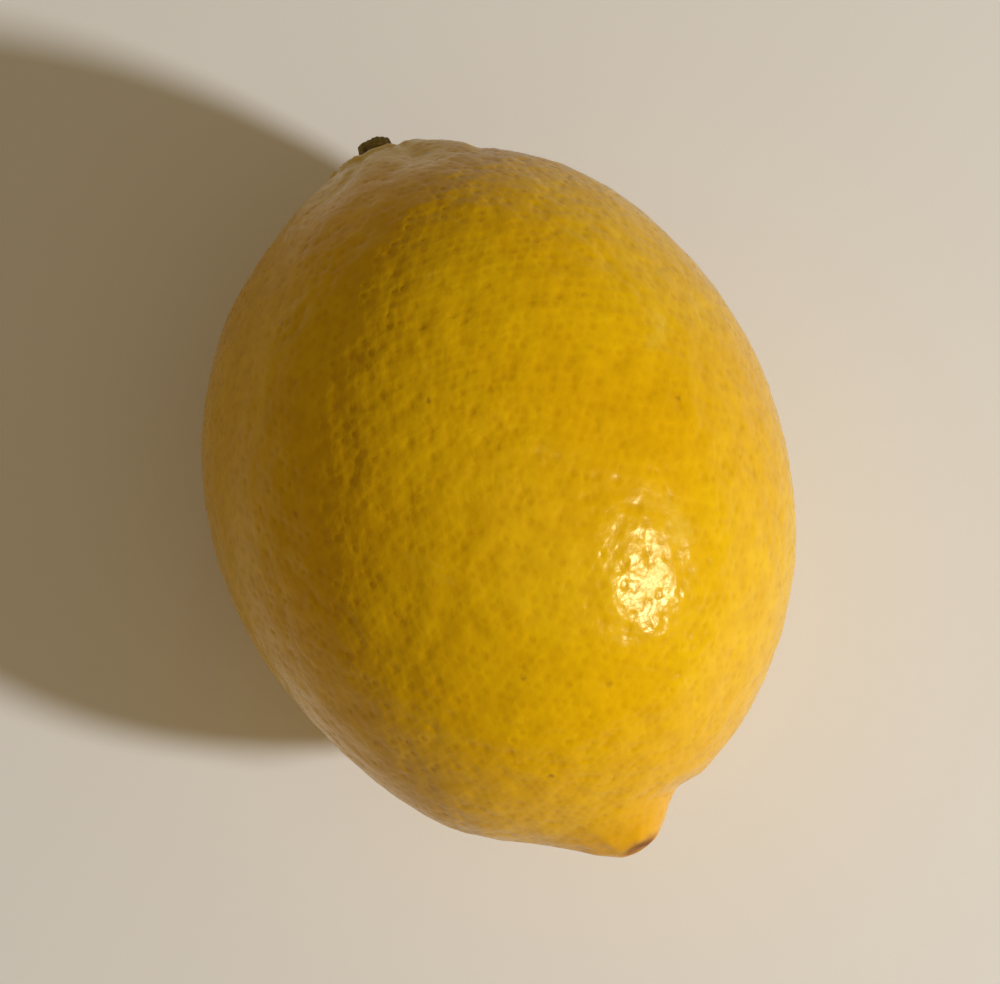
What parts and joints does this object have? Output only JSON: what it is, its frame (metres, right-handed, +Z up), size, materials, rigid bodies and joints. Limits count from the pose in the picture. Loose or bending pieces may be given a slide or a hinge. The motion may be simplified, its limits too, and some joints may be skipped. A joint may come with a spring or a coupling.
{
  "type": "lemon",
  "caption": "Whole ripe lemon lying on its side, a pitted oval fruit with a blunt nipple at one end and a dried stem button on a low neck at the other, for food and table scenes.",
  "frame": {"origin": "on the surface that the lemon lies on, under the middle of its length and width", "axes": "+X along the lemon from its stem button to its nipple, +Z up, as it lies at rest"},
  "size_m": [0.0816, 0.0613, 0.0598],
  "materials": {
    "rind": "satin",
    "dry_stem": "matte"
  },
  "bodies": {
    "root": {"fruit": "rind", "stem_button": "dry_stem"}
  },
  "joints": []
}
